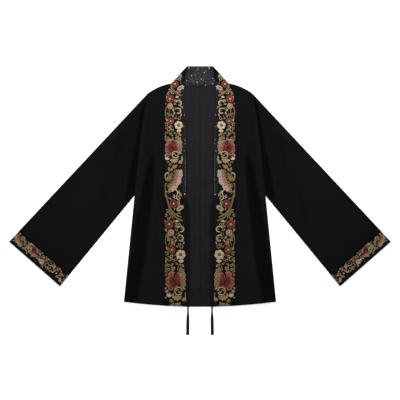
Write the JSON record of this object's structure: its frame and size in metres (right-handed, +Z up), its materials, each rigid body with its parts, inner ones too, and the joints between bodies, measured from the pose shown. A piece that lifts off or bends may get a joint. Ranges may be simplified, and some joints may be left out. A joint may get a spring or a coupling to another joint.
{
  "type": "open-front mandarin collar shirt",
  "caption": "Open-front shirt laid flat, with a standing band collar, wide straight sleeves, embroidered front bands and cuffs, and ribbon ties.",
  "frame": {"origin": "centre of the underside of the garment without its ties, on the surface that it lies on", "axes": "+X towards the wearer's left sleeve, +Y towards the collar, +Z up out of the front of the garment"},
  "size_m": [1.2188, 0.858, 0.0101],
  "materials": {
    "body_cloth": "matt black woven cloth",
    "back_cloth": "the inside of the same cloth, a little lighter and smoother",
    "collar_cloth": "black cloth with a fine silver glitter",
    "embroidered_band": "black cloth covered in satin-stitch flowers in red, pink, cream and gold thread",
    "ribbon": "black satin ribbon"
  },
  "bodies": {
    "root": {"back_left": "back_cloth", "back_right": "back_cloth", "front_left": "body_cloth", "front_right": "body_cloth", "band_left": "embroidered_band", "band_right": "embroidered_band", "sleeve_left": "body_cloth", "sleeve_right": "body_cloth", "cuff_left": "embroidered_band", "cuff_right": "embroidered_band", "tie_left": "ribbon", "tie_right": "ribbon", "collar_stand": "collar_cloth"}
  },
  "joints": []
}
